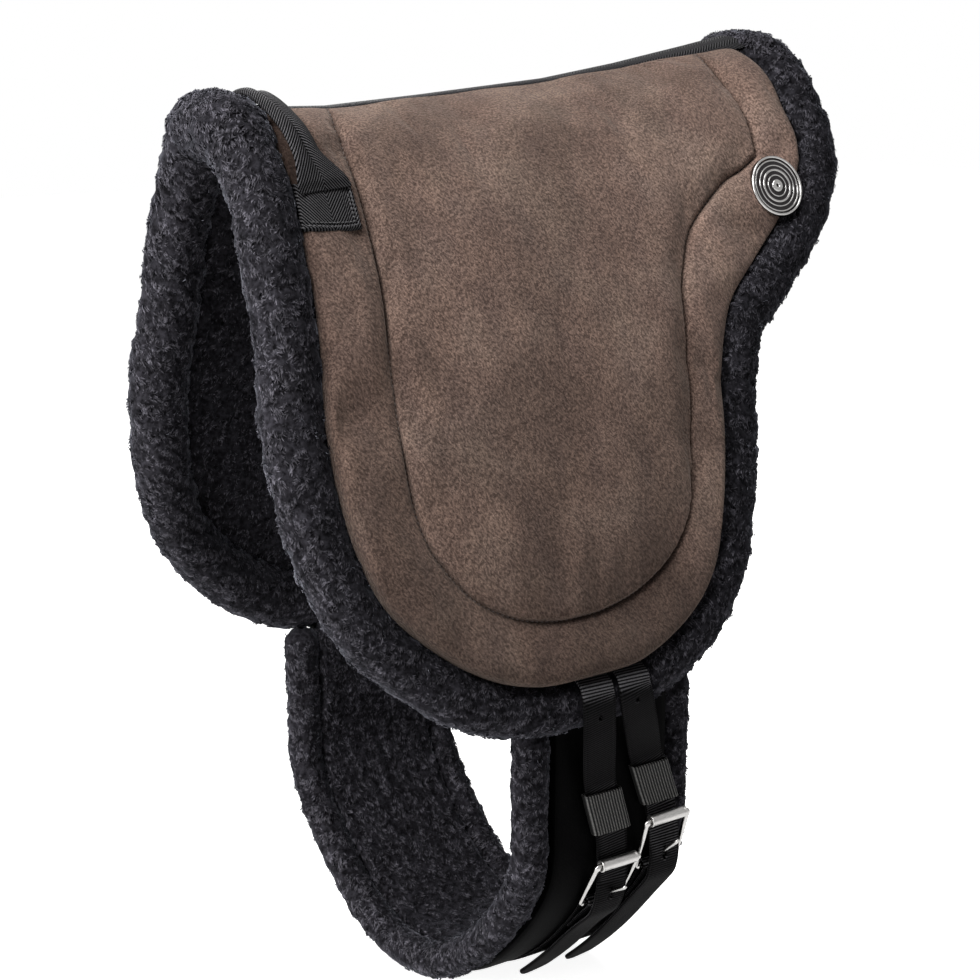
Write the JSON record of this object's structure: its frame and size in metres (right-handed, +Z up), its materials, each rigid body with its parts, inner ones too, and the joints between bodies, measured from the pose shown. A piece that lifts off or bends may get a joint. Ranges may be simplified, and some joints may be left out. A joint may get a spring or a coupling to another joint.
{
  "type": "bareback riding pad with girth",
  "caption": "Padded suede saddle pad with fleece underside and edge roll, grab strap, and a fleece-lined girth band held on webbing billets by roller buckles.",
  "frame": {"origin": "on the middle plane, at the front end of the spine, where the withers end rests on the horse", "axes": "+Z up, from the girth to the spine; +X rearwards along the spine; +Y across, towards the horse's off side"},
  "size_m": [0.514, 0.3689, 0.7249],
  "materials": {
    "suede": "brown suede, matt",
    "foam": "open foam, matt",
    "fleece": "black deep pile",
    "webbing": "black herringbone and ribbed webbing",
    "elastic": "black ribbed elastic",
    "steel": "polished steel",
    "enamel": "dark, half gloss"
  },
  "bodies": {
    "pad": {"spine_webbing": "webbing", "girth_core": "webbing", "girth_fleece": "fleece", "girth_roll_front": "fleece", "girth_roll_rear": "fleece", "girth_strap_front": "webbing", "girth_strap_rear": "webbing", "near_suede_cover": "suede", "near_foam_core": "foam", "near_fleece_lining": "fleece", "near_edge_roll": "fleece", "near_strap_tab": "webbing", "near_badge_rim": "steel", "near_badge_face": "enamel", "near_front_billet": "webbing", "near_rear_billet": "webbing", "near_front_keeper": "elastic", "near_rear_keeper": "elastic", "off_suede_cover": "suede", "off_foam_core": "foam", "off_fleece_lining": "fleece", "off_edge_roll": "fleece", "off_strap_tab": "webbing", "off_badge_rim": "steel", "off_badge_face": "enamel", "off_front_billet": "webbing", "off_rear_billet": "webbing", "off_front_keeper": "elastic", "off_rear_keeper": "elastic"},
    "grab_strap": {"grab_strap": "webbing"},
    "near_front_buckle_frame": {"near_front_buckle_frame": "steel"},
    "near_front_buckle_roller": {"near_front_buckle_roller": "steel"},
    "near_front_buckle_tongue": {"near_front_buckle_tongue": "steel"},
    "near_front_billet_tail": {"near_front_billet_tail": "webbing"},
    "near_rear_buckle_frame": {"near_rear_buckle_frame": "steel"},
    "near_rear_buckle_roller": {"near_rear_buckle_roller": "steel"},
    "near_rear_buckle_tongue": {"near_rear_buckle_tongue": "steel"},
    "near_rear_billet_tail": {"near_rear_billet_tail": "webbing"},
    "off_front_buckle_frame": {"off_front_buckle_frame": "steel"},
    "off_front_buckle_roller": {"off_front_buckle_roller": "steel"},
    "off_front_buckle_tongue": {"off_front_buckle_tongue": "steel"},
    "off_front_billet_tail": {"off_front_billet_tail": "webbing"},
    "off_rear_buckle_frame": {"off_rear_buckle_frame": "steel"},
    "off_rear_buckle_roller": {"off_rear_buckle_roller": "steel"},
    "off_rear_buckle_tongue": {"off_rear_buckle_tongue": "steel"},
    "off_rear_billet_tail": {"off_rear_billet_tail": "webbing"}
  },
  "joints": [
    {"name": "grab_strap_lift", "type": "hinge", "parent": "pad", "child": "grab_strap", "pos_m": [0.04253, 0, -0.05586], "axis": [0, 1, 0], "range_deg": [-2, 12]},
    {"name": "near_front_buckle_swing", "type": "hinge", "parent": "pad", "child": "near_front_buckle_frame", "pos_m": [0.22488, -0.14204, -0.5847], "axis": [1, -0.0001, 0.0002], "range_deg": [0, 3]},
    {"name": "near_front_roller_spin", "type": "hinge", "parent": "near_front_buckle_frame", "child": "near_front_buckle_roller", "pos_m": [0.22487, -0.16287, -0.54708], "axis": [1, -0.0001, 0.0002], "continuous": true},
    {"name": "near_front_tongue_swing", "type": "hinge", "parent": "near_front_buckle_frame", "child": "near_front_buckle_tongue", "pos_m": [0.22488, -0.14204, -0.5847], "axis": [1, -0.0001, 0.0002], "range_deg": [-4, 2]},
    {"name": "near_front_tail_lift", "type": "hinge", "parent": "pad", "child": "near_front_billet_tail", "pos_m": [0.22488, -0.15009, -0.58915], "axis": [-1, 0.0001, -0.0002], "range_deg": [0, 80]},
    {"name": "near_rear_buckle_swing", "type": "hinge", "parent": "pad", "child": "near_rear_buckle_frame", "pos_m": [0.2685, -0.15275, -0.56197], "axis": [0.9998, -0.0063, 0.0183], "range_deg": [0, 3]},
    {"name": "near_rear_roller_spin", "type": "hinge", "parent": "near_rear_buckle_frame", "child": "near_rear_buckle_roller", "pos_m": [0.26766, -0.16615, -0.52112], "axis": [0.9998, -0.0063, 0.0183], "continuous": true},
    {"name": "near_rear_tongue_swing", "type": "hinge", "parent": "near_rear_buckle_frame", "child": "near_rear_buckle_tongue", "pos_m": [0.2685, -0.15275, -0.56197], "axis": [0.9998, -0.0063, 0.0183], "range_deg": [-4, 2]},
    {"name": "near_rear_tail_lift", "type": "hinge", "parent": "pad", "child": "near_rear_billet_tail", "pos_m": [0.26849, -0.16149, -0.56484], "axis": [-0.9998, 0.0063, -0.0183], "range_deg": [0, 80]},
    {"name": "off_front_buckle_swing", "type": "hinge", "parent": "pad", "child": "off_front_buckle_frame", "pos_m": [0.19692, 0.14204, -0.5847], "axis": [-0.9985, -0.0279, -0.0475], "range_deg": [0, 3]},
    {"name": "off_front_roller_spin", "type": "hinge", "parent": "off_front_buckle_frame", "child": "off_front_buckle_roller", "pos_m": [0.19456, 0.16284, -0.54713], "axis": [-0.9985, -0.0279, -0.0475], "continuous": true},
    {"name": "off_front_tongue_swing", "type": "hinge", "parent": "off_front_buckle_frame", "child": "off_front_buckle_tongue", "pos_m": [0.19692, 0.14204, -0.5847], "axis": [-0.9985, -0.0279, -0.0475], "range_deg": [-4, 2]},
    {"name": "off_front_tail_lift", "type": "hinge", "parent": "pad", "child": "off_front_billet_tail", "pos_m": [0.19691, 0.15009, -0.58915], "axis": [0.9985, 0.0279, 0.0475], "range_deg": [0, 80]},
    {"name": "off_rear_buckle_swing", "type": "hinge", "parent": "pad", "child": "off_rear_buckle_frame", "pos_m": [0.23851, 0.15275, -0.56197], "axis": [-0.9992, -0.0127, -0.037], "range_deg": [0, 3]},
    {"name": "off_rear_roller_spin", "type": "hinge", "parent": "off_rear_buckle_frame", "child": "off_rear_buckle_roller", "pos_m": [0.23682, 0.16614, -0.52115], "axis": [-0.9992, -0.0127, -0.037], "continuous": true},
    {"name": "off_rear_tongue_swing", "type": "hinge", "parent": "off_rear_buckle_frame", "child": "off_rear_buckle_tongue", "pos_m": [0.23851, 0.15275, -0.56197], "axis": [-0.9992, -0.0127, -0.037], "range_deg": [-4, 2]},
    {"name": "off_rear_tail_lift", "type": "hinge", "parent": "pad", "child": "off_rear_billet_tail", "pos_m": [0.2385, 0.16149, -0.56484], "axis": [0.9992, 0.0127, 0.037], "range_deg": [0, 80]}
  ]
}
